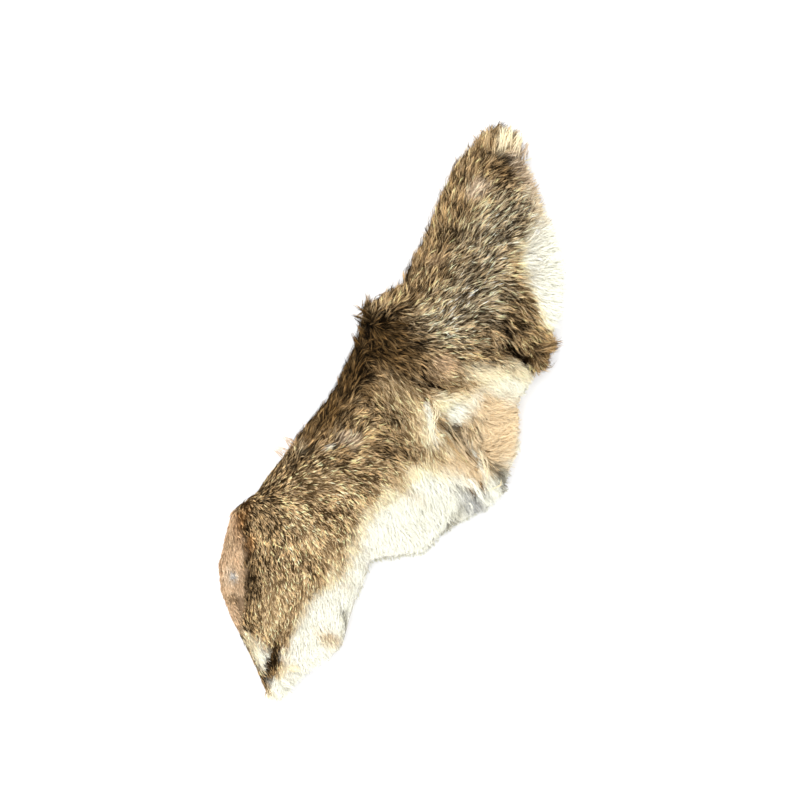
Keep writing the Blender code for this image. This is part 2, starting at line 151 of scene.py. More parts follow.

# Patches of other fur: the middle, the long way in degrees from +X, half the length and width, how
# softly it ends, as a share of them, how far it covers, and its fur. Patches no longer than the
# small size are on the upper half only. The black patches are painted shadow in creases and pits.
SMALL_PATCH, PATCH_SPILL = 20, 0.4
# The grey and brown patches in the leg fluff's holes are painted shade, and so are the grey and
# bluegrey ones below the fluff, over grey underfur, and the grey one beside the jaw
PATCHES = (
    (51, 12, 85, 42, 25.5, 0.4, 1, "sandy"), (56, -30, -25, 23, 12, 0.6, 0.9, "white"),
    (24, 43, 5, 27, 9.5, 0.9, 0.5, "buff"), (46, 54, 15, 29, 10, 0.6, 0.95, "cream"),
    (57, 53, 15, 23, 6.5, 0.8, 0.7, "white"), (6, 45, 25, 11, 9.5, 0.9, 0.7, "tan"),
    (4, 144, 70, 44, 23, 0.8, 0.9, "silver"), (5, 94, 55, 44, 20, 0.8, 0.9, "silver"),
    (3, 67, 25, 29, 16, 1.0, 0.6, "silver"), (-41, 120, -89, 60, 14.5, 0.9, 0.5, "golden"),
    (-23, 162, 65, 9, 6.5, 0.8, 0.8, "pale"), (-33, 203, 55, 13, 6, 0.9, 0.9, "buff"),
    (-21, 198, -75, 11, 5.5, 0.8, 0.9, "cream"), (-11, 197, -85, 11, 5.5, 0.8, 0.7, "pale"),
    (7, 182, -35, 21, 4.5, 0.9, 0.7, "pale"), (18, 169, -35, 13, 4.5, 0.9, 0.8, "cream"),
    (-12, 181, 29, 11, 6.5, 0.7, 0.7, "dark"), (-16, 188, 25, 8, 1.5, 0.7, 0.8, "painted_shadow"),
    (-39, 169, 83, 12, 5.5, 0.8, 0.4, "dark"), (-28, 147, -75, 12, 2, 0.8, 0.4, "dark"),
    (-9, 130, 85, 7, 2, 0.8, 0.7, "dark"), (-27, 107, 35, 8, 4.5, 0.9, 0.4, "tan"),
    (-18, 101, 43, 9, 2.5, 0.8, 0.4, "dark"), (-28, 84, 75, 11, 4, 0.9, 0.4, "dark"),
    (55, 84, -20, 17, 10.5, 0.8, 0.4, "golden"), (64, 84, 35, 8, 4, 0.8, 0.5, "golden"),
    (62, 76, 35, 6, 3.5, 0.8, 0.8, "dark"), (33, 82, 83, 9, 2.5, 0.9, 0.9, "painted_shadow"),
    (-34, 40, -5, 42, 28, 0.7, 0.9, "dark"), (-49, 8, 85, 43, 20, 0.8, 0.9, "dark"),
    (-51, -21, 75, 34, 17.5, 0.9, 0.35, "dark"), (-26, -91, -90, 63, 33.5, 0.9, 0.95, "fawn"),
    (-24, -158, -70, 42, 17.5, 0.9, 0.9, "fawn"), (-50, -109, -80, 31, 12, 0.9, 0.6, "agouti"),
    (-55, -26, 83, 23, 9.5, 0.9, 0.5, "brown"), (-53, 49, -75, 8, 4.5, 0.8, 1, "painted_shadow"),
    (-52, 40, -85, 12, 4, 0.8, 1, "painted_shadow"), (-32, 58, 29, 11, 1.5, 0.8, 0.7, "brown"),
    (-6, 30, -5, 12, 2, 0.8, 0.6, "golden"), (5, 30, -7, 8, 1.5, 0.8, 1, "painted_shadow"),
    (-31, 6, -45, 17, 5.5, 0.8, 0.5, "dark"), (-44, -15, 55, 13, 6, 0.9, 0.5, "dark"),
    (-5, -22, 9, 15, 4.5, 0.9, 0.6, "dark"), (-29, -39, 55, 13, 4, 0.9, 0.5, "dark"),
    (-59, -59, 75, 15, 5.5, 0.9, 0.45, "dark"), (-60, -82, 80, 15, 5.5, 0.9, 0.35, "dark"),
    (-57, -101, 85, 9, 5.5, 0.9, 0.4, "dark"), (-27, -155, -65, 29, 12, 0.9, 0.8, "buff"),
    (-16, -138, -45, 20, 8, 0.9, 0.5, "buff"), (-30, -58, 25, 27, 12, 0.9, 0.3, "buff"),
    (-31, -24, -75, 7, 9.5, 0.9, 0.65, "pale"), (-40, -35, 55, 4, 2.5, 0.9, 0.5, "white"),
    (-57, -45, 55, 6, 5.5, 0.9, 0.7, "silver"), (-10, 13, -35, 23, 8, 0.9, 0.55, "buff"),
    (9, 1, -55, 25, 10, 0.8, 0.9, "buff"), (16, 1, -60, 17, 6, 0.8, 0.8, "cream"),
    (11, -38, -20, 21, 6, 0.9, 0.6, "buff"), (-23, -76, -25, 25, 10.5, 1.0, 0.45, "golden"),
    (-26, -98, -45, 20, 9.5, 1.0, 0.5, "buff"), (-6, -104, -45, 20, 8, 0.9, 0.6, "buff"),
    (-14, -116, -45, 7, 6, 0.8, 0.75, "golden"), (-78, -78, 79, 24, 5.5, 0.8, 0.9, "orange"),
    (-74, -100, -85, 17, 5.5, 0.9, 0.8, "orange"), (-66, -142, -65, 51, 11.5, 0.25, 1, "tan"),
    (-76, -108, -65, 17, 5.5, 0.7, 0.85, "orange"), (-74, -124, 65, 7, 4, 0.8, 0.8, "brown"),
    (-65, -144, -65, 8, 6.5, 0.5, 0.9, "pale"), (-63, -143, -65, 3, 2.5, 0.5, 0.9, "bluegrey_and_painted_shade"),
    (-58, -158, 5, 7, 4.5, 0.7, 0.85, "brown"), (-53, -171, -35, 11, 4, 0.7, 0.9, "pale"),
    (-60, -129, -65, 31, 2, 0.8, 0.75, "dark"), (-49, -140, -67, 24, 4.5, 0.8, 0.6, "dark"),
    (-61, -118, -75, 9, 4, 0.9, 0.7, "orange"), (-40, -167, -45, 13, 8, 0.8, 0.7, "golden"),
    (-29, -186, -35, 17, 9.5, 0.5, 1, "cream"), (-22, -185, -55, 12, 6, 0.7, 0.9, "white"),
    (-37, -184, -35, 11, 3.5, 0.7, 0.7, "pale"), (-14, -183, -78, 25, 4.5, 0.5, 1, "golden"),
    (-15, -192, -78, 20, 2.5, 0.6, 0.9, "dark"), (-11, -185, -80, 17, 1.5, 0.6, 0.6, "dark"),
    (3, -199, -10, 16, 6.5, 0.5, 1, "white"), (-2, -161, 85, 24, 9.5, 0.5, 0.9, "white"),
    (2, -138, 75, 20, 10.5, 0.6, 0.9, "white"), (5, -195, -25, 7, 4, 0.9, 0.5, "grey_and_painted_shade"),
    (-14, -203, -55, 7, 2.5, 0.8, 0.8, "golden"), (13, -154, -5, 10, 6, 0.8, 0.8, "buff"),
    (17, -140, -55, 15, 2, 0.8, 0.8, "grey_and_painted_shade"), (21, 11, -35, 9, 4.5, 0.8, 0.85, "golden"),
    (23, 6, -35, 5, 2.5, 0.8, 0.9, "brown"), (32, 9, -30, 8, 2.5, 0.8, 0.9, "brown"),
    (41, 16, -60, 15, 2.5, 0.9, 0.7, "golden"), (15, 7, -55, 16, 2.5, 0.6, 1, "white"),
    (55, -3, -45, 15, 2.5, 0.7, 1, "white"), (73, -8, -35, 15, 7.5, 0.8, 0.9, "grey_and_painted_shade"),
    (66, -4, -35, 7, 3.5, 0.8, 0.6, "golden"), (63, -32, -25, 16, 7.5, 0.9, 0.85, "bluegrey_and_painted_shade"),
    (63, -18, -35, 3, 2, 0.8, 1, "brown"), (58, -24, -25, 4, 2.5, 0.8, 1, "brown"),
    (51, -25, 5, 5, 2, 0.8, 0.7, "grey_and_painted_shade"), (55, -53, 83, 20, 4.5, 0.9, 0.85, "grey_and_painted_shade"),
    (28, 116, -51, 31, 4.5, 0.9, 0.6, "golden"), (11, 173, -40, 29, 6.5, 0.9, 0.5, "pale"),
)

# Tufts that stand out of the coat, placed at their roots. curl is how far the tip swings aside,
# as a share of the length, and lift how high it stands over the coat.
TUFT_COLUMNS = ("x", "y", "heading", "length", "spread", "hairs", "curl", "lift", "fur")
# The black tufts lie in the creases and pits as painted shadow.
TUFTS = (
    (-57, 59, 120, 13, 2, 18, 0.05, 4, "golden"), (-54, 59, 111, 9, 3, 12, -0.1, 4, "buff"),
    (-54, 54, 167, 16, 2, 10, 0.1, 3, "golden"), (-52, 51, 181, 15, 2, 10, 0.1, 2, "golden"),
    (-54, 53, 153, 12, 3, 24, 0, 4, "dark"), (-54, 48, 175, 11, 3, 20, 0, 3, "dark"),
    (-51, 60, 85, 8, 3, 9, -0.2, 4, "buff"), (-47, 64, 65, 8, 3, 9, 0.3, 3, "buff"),
    (-51, 41, 153, 11, 3, 20, 0, 2, "brown"), (-52, 33, 143, 11, 3, 20, 0, 2, "brown"),
    (-52, 49, -75, 13, 2, 20, 0, 4, "painted_shadow"), (-63, -46, 157, 12, 4, 18, 0.1, 3, "tan"),
    (-65, -54, 167, 11, 4, 16, 0.1, 3, "tan"), (-5, -199, -45, 8, 4, 30, 0, 1, "white"),
    (-3, -192, -10, 9, 4, 40, 0, 1, "white"), (-3, -182, 5, 8, 4, 30, 0, 1, "cream"),
    (-29, 187, 113, 19, 3, 20, 0.05, 4, "buff"), (-34, 182, 103, 13, 3, 20, 0, 4, "golden"),
    (-25, 188, 109, 15, 3, 20, 0, 4, "buff"), (-21, 191, 109, 19, 4, 34, 0, 5, "cream"),
    (-18, 194, 105, 19, 5, 40, 0, 5, "cream"), (-13, 194, 101, 17, 5, 34, -0.1, 5, "cream"),
    (-7, 194, 93, 15, 4, 26, -0.1, 4, "pale"), (56, 82, 37, 19, 3, 50, 0.05, 2, "golden"),
    (57, 79, 35, 17, 3, 50, 0.05, 1, "golden"), (57, 76, 11, 12, 3, 30, 0.1, 1, "brown"),
    (57, 73, -9, 13, 3, 30, 0.1, 1, "brown"), (36, 76, -17, 10, 0.8, 14, 0, 4, "painted_shadow"),
    (43, 74, -17, 10, 0.8, 14, 0, 4, "painted_shadow"), (51, 71, -20, 10, 0.8, 14, 0, 4, "painted_shadow"),
    (57, 68, -23, 9, 0.8, 10, 0, 3, "painted_shadow"), (33, 85, -80, 9, 1.5, 14, 0, 4, "painted_shadow"),
    (-7, 33, -17, 12, 1.5, 26, -0.05, 5, "painted_shadow"), (-16, 33, -9, 19, 3, 40, -0.05, 4, "golden"),
    (-45, 48, -35, 15, 3, 26, 0, 4, "brown"), (-38, 56, 29, 16, 3, 30, 0, 3, "brown"),
)

# The furs: the colours of the band that shows and of the hair's root and tip, as sRGB from 0 to
# 255, and how strongly the locks are ticked with the tip's colour
FURS = {
    "agouti": ((184, 155, 114), (46, 31, 11), (28, 18, 3), 1.0),
    "golden": ((184, 152, 108), (50, 34, 13), (30, 19, 3), 1.0),
    "silver": ((222, 200, 163), (56, 41, 23), (32, 22, 9), 1.0),
    "fawn": ((226, 191, 144), (78, 56, 29), (54, 37, 15), 0.95),
    "dark": ((88, 65, 35), (26, 17, 7), (12, 7, 1), 1.0),
    "brown": ((128, 98, 58), (44, 31, 15), (26, 17, 6), 0.9),
    # Black painted shadow for the creases and pits, not a fur of the pelt
    "painted_shadow": ((26, 18, 9), (10, 7, 3), (7, 4, 1), 0.7),
    "orange": ((186, 134, 82), (106, 70, 34), (88, 54, 20), 0.7),
    "tan": ((224, 194, 158), (204, 172, 136), (190, 154, 114), 0.2),
    "pale": ((230, 211, 186), (190, 168, 142), (192, 166, 134), 0.3),
    "buff": ((232, 206, 162), (166, 136, 94), (146, 112, 68), 0.5),
    "sandy": ((246, 223, 184), (214, 189, 148), (222, 194, 152), 0.08),
    # Grey fur, also used as painted shade in the leg fluff's holes, below the fluff and beside the jaw
    "grey_and_painted_shade": ((182, 178, 158), (112, 108, 94), (120, 114, 96), 0.5),
    # Bluegrey fur, also used as painted shade over grey underfur below the leg's fluff
    "bluegrey_and_painted_shade": ((188, 187, 184), (128, 127, 126), (146, 145, 142), 0.4),
    "cream": ((254, 242, 208), (246, 230, 194), (248, 233, 196), 0.06),
    "white": ((255, 254, 240), (255, 251, 236), (255, 254, 241), 0.0),
}

# What makes the furs' borders, patches, the hair's way and the marks uneven: weight, size and seed
BORDER_NOISES = ((3.0, 5, 3), (2.0, 14, 4))
PATCH_NOISES = ((0.2, 6, 7),)
STRAY_NOISES = ((14, 9, 5),)
MARK_NOISES = ((0.4, 4.5, 6), (0.3, 12, 8))

# A mark says how pale or dark a hair is: its spread among locks, their hairs and loose tufts, its
# limits and how far below zero a ticked hair is fully dark
MARK_SPREAD, HAIR_SPREAD, LOOSE_SPREAD = 0.75, 0.3, 0.5
MARK_RANGE, FULLY_DARK = (-1.2, 1.4), 0.7

# How much a mark changes the shade, without and with full ticking, and how far ticking darkens all
LOCK_CONTRAST, DARK_SHIFT = (0.05, 0.7), 0.15

# How much warmer a hair may be and its blue's share of that, and how far the tip's colour covers
# any hair's tip and a dark one's lower part and band
WARMTH, BLUE_WARMTH = 0.05, 1.6
TIP_SPREAD, LOW_DARKENING, BAND_DARKENING = 0.6, 0.6, 0.92

# Where along a hair its root, lower part, band and tip are
BAND_SHARES = (0.0, 0.4, 0.74, 1.0)

# The undercoat's painted shade on the roots' colour, and how much of a layer's painted shade unticked
# fur takes
WOOL_SHADE, LEAST_SHADE = 0.75, 0.2

# Long locks that lie loose on the leg's fluff: four places that each runs through, half of its
# width, its number of hairs and its fur
WISPS = (
    (((10, 22), (14, 12), (16, 0), (20, -7)), 2.6, 12, "cream"),
    (((24, 11), (35, 2), (46, -5), (57, -7)), 2.0, 16, "sandy"),
    (((23, 5), (33, -1), (44, -6), (54, -8)), 2.0, 16, "buff"),
    (((23, 10), (33, 3), (45, -2), (55, -6)), 0.5, 8, "brown"),
    (((23, 4), (33, -2), (44, -6), (55, -8)), 0.5, 8, "brown"),
    (((48, 6), (55, 0), (61, -7), (65, -18)), 1.7, 16, "cream"),
    (((70, -6), (73, -11), (70, -15), (65, -20)), 0.9, 7, "cream"),
    (((57, -34), (60, -31), (63, -35), (62, -41)), 0.8, 7, "white"),
    (((50, -17), (57, -19), (64, -24), (74, -28)), 1.8, 14, "white"),
)

# The points of a hair in wisps and tufts, its width and how much that, length and lift vary
WISP_POINTS, TUFT_POINTS = 10, 6
WISP_WIDTH, TUFT_WIDTH, WISP_WIDTHS = 0.24, 0.34, (0.7, 1.3)
TUFT_LENGTHS, TUFT_LIFTS = (0.65, 1.08), (0.7, 1.0)

# How a tuft's hairs stray in degrees, gather at the tip and spread more along than across it
TUFT_STRAY, TUFT_GATHER, TUFT_STRETCH = 4, 0.85, 1.4

# Where along a wisp its hairs begin and end, how high it lies, how thick its ends are, and how its
# hairs spread, wave, stack up and tilt
WISP_BEGINS, WISP_ENDS = (0, 0.3), (0.65, 1.02)
WISP_LIFT, WISP_END_WIDTH, WISP_TAPER = 0.3, 0.3, 0.8
WISP_SPREAD, WISP_WAVE, WISP_WAVES, WISP_STACK, WISP_TILT = 0.5, 0.3, 2, (0.2, 0.8), 0.3

# The slab's ends, the step between its sections and the points round each of them
HEAD_Y, RUMP_Y = -206, 200
ROW_STEP = 1.5
FLOOR_POINTS, FOLD_POINTS, TOP_POINTS = 24, 14, 64

# How far its edges lie from the sections' ones along x, at some places along y, because the hair
# at the rim reaches past its roots
BACK_INSETS = ((-205, 3), (-150, 0.5), (-105, 0.5), (-88, 4), (-60, 5), (205, 5))
BELLY_INSETS = (
    (-205, -1.5), (-150, -1.5), (-115, -3), (-90, -7), (0, -7), (12, -4), (32, -4), (60, -7),
    (90, -4.5), (150, -4.5), (170, -7), (205, -7),
)

# The height of the under half's fur, the least on top, the slit between them, its height at the
# fold and how many times faster than the top's width it narrows
UNDER_FUR, LEAST_FUR = 6.5, 3.5
SLIT, FOLD_GAP, GAP_FADE = 1.5, 3, 5

# The fold's reach along x, at most and as a share of the width, and the slit's share of that
FOLD_REACH, FOLD_SHARE, GAP_SHARE = 13, 0.4, 0.25

# The upper half's height at the fold and at the very edge, as shares of its height near there,
# and how far across the crown lies and how wide the edge is rounded, as shares of the width
FOLD_FULLNESS, CROWN_AT, RIM_ROUNDING, RIM_WIDTH = 0.86, 0.22, 0.55, 0.1

# The size and height of lumps and of smaller tufts all over the upper half
LUMP_SIZE, LUMP_HEIGHT = 26, 3.2
TUFT_SIZE, TUFT_HEIGHT = 9, 1.1

# The hide's thickness, and how far its edges lie back under the fur, fading over some columns
HIDE, HIDE_INSET, INSET_COLUMNS = 1.2, 2.5, 12

# How deep the roots lie under the fur's top, over how many columns past the fold that grows, its
# limits as shares and in millimetres, and the room over the hide for the roots and the undercoat
COAT_DEPTH, FOLD_DEPTH, UNDER_DEPTH = 6.5, 4.5, 2.8
DEPTH_COLUMNS, DEPTH_SHARES, LEAST_DEPTH = 6, (0.35, 1.1), 0.5
ROOT_ROOM, UNDERCOAT_ROOM = 0.8, 0.15

# The hair's length where the coat has its full depth, and how the places of its table blend
FULL_LENGTH, FLOW_BLEND, FLOW_FALLOFF = 14.0, 3, 3

# How far the hair at the folded back fans out, in degrees, and how much higher it stands there,
# and how dense the coat is there and underneath, as shares of the top's
BACK_FAN, BACK_LIFT, FAN_LIMIT = 20, 0.25, 3
BACK_SHARE, UNDER_SHARE = 0.7, 0.16

# How many columns from the belly edge the hair hangs down over it, by what share of its length,
# and how much longer it is there
RIM_COLUMNS, RIM_DROOP, RIM_GROWTH = 5, 0.6, 0.2

# The same for the under half's edge, where the hair turns up and is shorter, and how many times
# denser its first column is than the rest of the underside
LOW_RIM_COLUMNS, LOW_RIM_RISE, LOW_RIM_CUT, LOW_RIM_DENSITY = 2, 1.0, 0.55, 4.0

# The shares of a hair's length where a blade has its points
ROUGH_STEPS, FINE_STEPS = (0.0, 0.6, 1.0), (0.0, 0.4, 0.74, 1.0)

# How much a blade narrows, is rolled about itself and varies in width, and its strip of the map:
# the margins beside and below it and how tall it is for its width
THINNING, ROLL, WIDTHS = 0.45, 0.6, (0.75, 1.25)
STRIP_MARGINS, STRIP_SHAPE = (0.1, 0.05), 3

# How steep a hair may stand, how it bows, sags and gathers, and its least height over the floor
STEEPEST, BOW, SAG, GATHER_BOW, CLEARANCE = 0.9, 2.2, 0.08, 1.3, 0.25

# How the locks' and hairs' lengths and lifts vary, how they bend, and how locks stray in degrees
LOCK_LENGTHS, LOCK_LIFTS = (0.8, 1.15), (0.75, 1.15)
HAIR_LENGTHS, HAIR_LIFTS = (0.8, 1.12), (0.85, 1.12)
LOCK_BEND, HAIR_BEND, STRAY = 0.14, 0.05, 11

# A lock's radius with no length and what full length adds, how much longer than wide it is, and
# how far along it its fur is looked up
SPREAD_SHARES, LOCK_STRETCH, SEEN_AT = (0.55, 0.45), 1.6, 0.7

# What a full crease takes of a hair's length and lift, and of its colour as painted shade
CREASE_LENGTH, CREASE_LIFT, CREASE_PAINTED_SHADE = 0.7, 0.6, 0.92

# The colours of the flesh side, as sRGB from 0 to 255, and where its clouds reach each
FLESH_SIDE = ((0.3, (206, 178, 140)), (0.72, (236, 218, 190)))

# Half of the floor's side in metres and its colour, the strength of the light from all round, and
# a large soft lamp up on the side of the folded back
FLOOR_REACH, FLOOR_COLOUR = 3.0, (0.93, 0.935, 0.95, 1)
WORLD_STRENGTH = 1.45
LAMP_PLACE, LAMP_SIZE, LAMP_POWER = Vector((-0.8, 0.45, 1.3)), 0.7, 9.0

# The camera's view in metres: its width at half the pelt's height, its middle and how far it is
# turned, in degrees, so that the pelt lies across the picture as in the photo
VIEW_WIDTH, VIEW_HEIGHT, VIEW_CENTRE, VIEW_TURN = 0.536, 0.02, (-0.0115, 0.0103), 25
CAMERA_HEIGHT, SENSOR_WIDTH = 1.6, 36.0

# Layers of the coat: the name, the locks' spacing, hairs and radius, the hairs' length and lift as
# shares of the place's own, their width and how far they gather at the tip, the layer's painted
# shade, darker for the lower layers, how much its locks differ and where its blades have their points
LAYERS = (
    ("wool", 3.0, 5, 1.8, 0.6, 0.6, 0.8, 0.3, 0.72, 1.0, ROUGH_STEPS),
    ("awn_hair_1", 3.05, 6, 1.3, 0.8, 0.75, 0.5, 0.7, 0.88, 1.0, ROUGH_STEPS),
    ("awn_hair_2", 2.8, 5, 1.0, 0.84, 0.85, 0.42, 0.78, 0.95, 1.1, FINE_STEPS),
    ("awn_hair_3", 2.5, 4, 0.7, 0.9, 0.95, 0.38, 0.8, 1.0, 1.1, FINE_STEPS),
    ("awn_hair_4", 2.5, 4, 0.5, 0.95, 1.02, 0.34, 0.75, 1.0, 1.2, FINE_STEPS),
    ("guard_hair", 2.1, 3, 0.3, 1.0, 1.1, 0.28, 0.6, 1.0, 1.3, ROUGH_STEPS),
)


def columns(names, rows):
    """The columns of a table as arrays by name."""
    return {name: np.array([row[i] for row in rows]) for i, name in enumerate(names)}


SECTION = columns(SECTION_COLUMNS, SECTIONS)
FLOWING = columns(FLOW_COLUMNS, FLOW)


def section_at(name, y):
    """A column of the sections at y, its edges shifted to the roots."""
    value = np.interp(y, SECTION["y"], SECTION[name])
    insets = {"back": BACK_INSETS, "belly": BELLY_INSETS, "under": BELLY_INSETS}.get(name)
    return value + np.interp(y, *zip(*insets)) if insets else value


def soft_noise(x, y, size, seed):
    """Smooth noise from -1 to 1 with bumps about size wide, on a grid that repeats."""
    cells = 97
    shift = cells * 4
    grid = np.random.default_rng(seed).uniform(-1, 1, (cells, cells))
    u, v = x / size + shift, y / size + shift
    i, j = np.floor(u).astype(int), np.floor(v).astype(int)
    u, v = u - i, v - j
    u, v = u * u * (3 - 2 * u), v * v * (3 - 2 * v)
    near = grid[i % cells, j % cells] * (1 - u) + grid[(i + 1) % cells, j % cells] * u
    far = grid[i % cells, (j + 1) % cells] * (1 - u) + grid[(i + 1) % cells, (j + 1) % cells] * u
    return near * (1 - v) + far * v


def waver(x, y, noises):
    """The sum of some noises, each given by its weight, size and seed."""
    return sum(weight * soft_noise(x, y, size, seed) for weight, size, seed in noises)


def segment_distance(x, y, x1, y1, x2, y2):
    """How far each place is from the line between two points."""
    run_x, run_y = x2 - x1, y2 - y1
    share = ((x - x1) * run_x + (y - y1) * run_y) / (run_x**2 + run_y**2)
    share = np.clip(share, 0, 1)
    return np.hypot(x - x1 - run_x * share, y - y1 - run_y * share)


def nearness(x, y, x1, y1, x2, y2, half_width):
    """How near each place is to a line, 1 on it and fading to the sides."""
    away = segment_distance(x, y, x1, y1, x2, y2) / half_width
    return np.exp(-away * away)


def fold_rise(x, y):
    """The height that the folds, partings and lumps add to the upper half."""
    rise = np.zeros_like(x)
    for place, (px, py) in enumerate(zip(x.flat, y.flat)):
        lump = noise.noise(Vector((px, py, 0)) / LUMP_SIZE)
        tuft = noise.noise(Vector((px, py, LUMP_SIZE)) / TUFT_SIZE)
        rise.flat[place] = LUMP_HEIGHT * lump + TUFT_HEIGHT * tuft
    for *line, height in FOLDS:
        rise += height * nearness(x, y, *line)
    return rise


def crease_share(x, y):
    """How much of a hair's length the creases take, and of its colour as painted shade."""
    share = np.zeros_like(x)
    for *line, most in CREASES:
        share = np.maximum(share, most * nearness(x, y, *line))
    return share


def top_height(share, crown, rim):
    """The upper half's smooth height, from the fold at share 0 to the belly at 1."""
    short = (CROWN_AT - share) / CROWN_AT
    near = crown * (1 - (1 - FOLD_FULLNESS) * short * short)
    fall = (share - CROWN_AT) / (1 - CROWN_AT)
    far = rim + (crown - rim) * np.cos(fall * math.pi / 2)
    return np.where(share < CROWN_AT, near, far)


def coat_surfaces():
    """The fur's outside and the flesh side, as grids of sections by points round them."""
    y = np.linspace(HEAD_Y, RUMP_Y, round((RUMP_Y - HEAD_Y) / ROW_STEP) + 1)[:, None]
    back, belly, under = (section_at(name, y) for name in ("back", "belly", "under"))
    under = np.minimum(under, belly)
    crown, rim = section_at("crown", y), section_at("rim", y)
    reach = np.minimum(FOLD_REACH, FOLD_SHARE * (belly - back))
    gap = np.minimum(FOLD_GAP, GAP_SHARE * reach)
    fold_x, fold_top = back + reach, FOLD_FULLNESS * crown

    share = np.linspace(0, 1, FLOOR_POINTS)[None, :]
    floor_x = under + (fold_x - under) * share
    turn = np.linspace(0, math.pi, FOLD_POINTS + 2)[None, 1:-1]
    out, up = np.sin(turn), (1 - np.cos(turn)) / 2
    top_share = np.linspace(0, 1, TOP_POINTS)[None, :]
    top_x = fold_x + (belly - fold_x) * top_share
    ceiling = UNDER_FUR + np.maximum(SLIT, gap - (gap - SLIT) * top_share * GAP_FADE)
    top_y = np.broadcast_to(y, top_x.shape)
    height = top_height(top_share, crown, rim) + fold_rise(top_x, top_y)
    round_off = np.clip((top_share - 1 + RIM_WIDTH) / RIM_WIDTH, 0, 1) ** 2
    height = ceiling + (height - ceiling) * (1 - (1 - RIM_ROUNDING) * round_off)
    height = np.maximum(height, ceiling + LEAST_FUR)

    fur_x = np.hstack((floor_x, fold_x - reach * out, top_x))
    fur_z = np.hstack((0 * floor_x, fold_top * up, height))
    flesh_x = np.hstack((floor_x, fold_x - gap / 2 * out, top_x))
    flesh_z = np.hstack((UNDER_FUR + 0 * floor_x, UNDER_FUR + gap * up, ceiling))
    rows = np.broadcast_to(y, fur_x.shape)
    return np.stack((fur_x, rows, fur_z), 2), np.stack((flesh_x, rows, flesh_z), 2)


def unit(vectors):
    """The vectors at length 1."""
    return vectors / np.maximum(np.linalg.norm(vectors, axis=-1, keepdims=True), TINY)


def grid_normals(grid):
    """Unit vectors away from the hide at each point of a grid."""
    along, across = np.gradient(grid, axis=0), np.gradient(grid, axis=1)
    return unit(np.cross(across, along))


def add_object(name, data):
    """An object in the scene for a mesh, a lamp or a camera."""
    added = bpy.data.objects.new(name, data)
    bpy.context.scene.collection.objects.link(added)
    return added


def link_mesh(name, points, loops, starts):
    """A mesh of the tables' points, with its faces' corners and where each face starts in them."""
    mesh = bpy.data.meshes.new(name)
    points = (points + (*TABLE_ORIGIN, 0)) * MILLIMETRE
    mesh.vertices.add(len(points))
    mesh.vertices.foreach_set("co", points.astype(np.float32).ravel())
    mesh.loops.add(len(loops))
    mesh.loops.foreach_set("vertex_index", loops.astype(np.int32))
    mesh.polygons.add(len(starts))
    mesh.polygons.foreach_set("loop_start", starts.astype(np.int32))
    mesh.polygons.foreach_set("use_smooth", np.ones(len(starts), bool))
    mesh.update(calc_edges=True)
    return add_object(name, mesh)


def paint_coat(piece, colours):
    """Gives each point of a mesh the colour that the fur's material shows."""
    paint = np.ones((len(piece.data.vertices), 4), np.float32)
    paint[:, :3] = colours.reshape(-1, 3)
    attribute = piece.data.color_attributes.new("coat", "FLOAT_COLOR", "POINT")
    attribute.data.foreach_set("color", paint.ravel())


def coarser(grid):
    """Every second row and column of a grid, and its last ones."""
    kept = [sorted({*range(0, size, 2), size - 1}) for size in grid.shape[:2]]
    return grid[np.ix_(*kept)]


def closed_shell(name, outer, inner):
    """A closed skin between two grids of the same size."""
    rows, across = outer.shape[:2]
    number = np.arange(rows * across).reshape(rows, across)
    quads = []

    def add(a, b, c, d):
        """Adds faces with these corners."""
        quads.append(np.stack((a.ravel(), b.ravel(), c.ravel(), d.ravel()), 1))

    a, b, c, d = number[:-1, :-1], number[:-1, 1:], number[1:, 1:], number[1:, :-1]
    add(a, b, c, d)
    lower = number.size
    add(a + lower, d + lower, c + lower, b + lower)
    rims = ((number[0], False), (number[-1], True), (number[:, 0], True), (number[:, -1], False))
    for edge, flip in rims:
        sides = (edge[:-1], edge[:-1] + lower, edge[1:] + lower, edge[1:])
        add(*(sides[::-1] if flip else sides))
    loops = np.vstack(quads).ravel()
    points = np.vstack((outer.reshape(-1, 3), inner.reshape(-1, 3)))
    return link_mesh(name, points, loops, np.arange(0, len(loops), 4))


def drawn_in(grid):
    """A grid with its edges a little back under the fur."""
    grid = grid.copy()
    column = np.arange(grid.shape[1])
    from_edge = np.minimum(column, column[::-1])
    grid[..., 0] -= HIDE_INSET * np.clip(1 - from_edge / INSET_COLUMNS, 0, 1)
    grid[0, :, 1] += HIDE_INSET
    grid[-1, :, 1] -= HIDE_INSET
    return grid


def linear(colour):
    """sRGB from 0 to 255 as linear light from 0 to 1."""
    colour = np.asarray(colour, float) / 255
    return np.where(colour <= 0.04045, colour / 12.92, ((colour + 0.055) / 1.055) ** 2.4)


def smooth(edge0, edge1, value):
    """A soft step from 0 at the first edge to 1 at the second."""
    share = np.clip((value - edge0) / (edge1 - edge0), 0, 1)
    return share * share * (3 - 2 * share)


def white_depth(x, y):
    """How far a place lies inside the white fur, in millimetres, or outside if negative."""
    near = np.full(x.shape, np.inf)
    inside = np.zeros(x.shape, bool)
    corners = (*WHITE_FROM, (FAR_X, -FAR_Y), (FAR_X, FAR_Y))
    for (x1, y1), (x2, y2) in zip(corners, corners[1:] + corners[:1]):
        if FAR_X not in (x1, x2):
            near = np.minimum(near, segment_distance(x, y, x1, y1, x2, y2))
        crosses = (y1 > y) != (y2 > y)
        inside ^= crosses & (x < x1 + (y - y1) * (x2 - x1) / (y2 - y1 + TINY))
    return np.where(inside, near, -near)


def fur_row(name):
    """A fur's band, root and tip colours and its ticking as one row of ten numbers."""
    *colours, ticking = FURS[name]
    return np.hstack([*map(linear, colours), ticking])


def split_rows(furs):
    """The band, root and tip colours and the ticking of some rows."""
    return furs[:, 0:3], furs[:, 3:6], furs[:, 6:9], furs[:, 9]


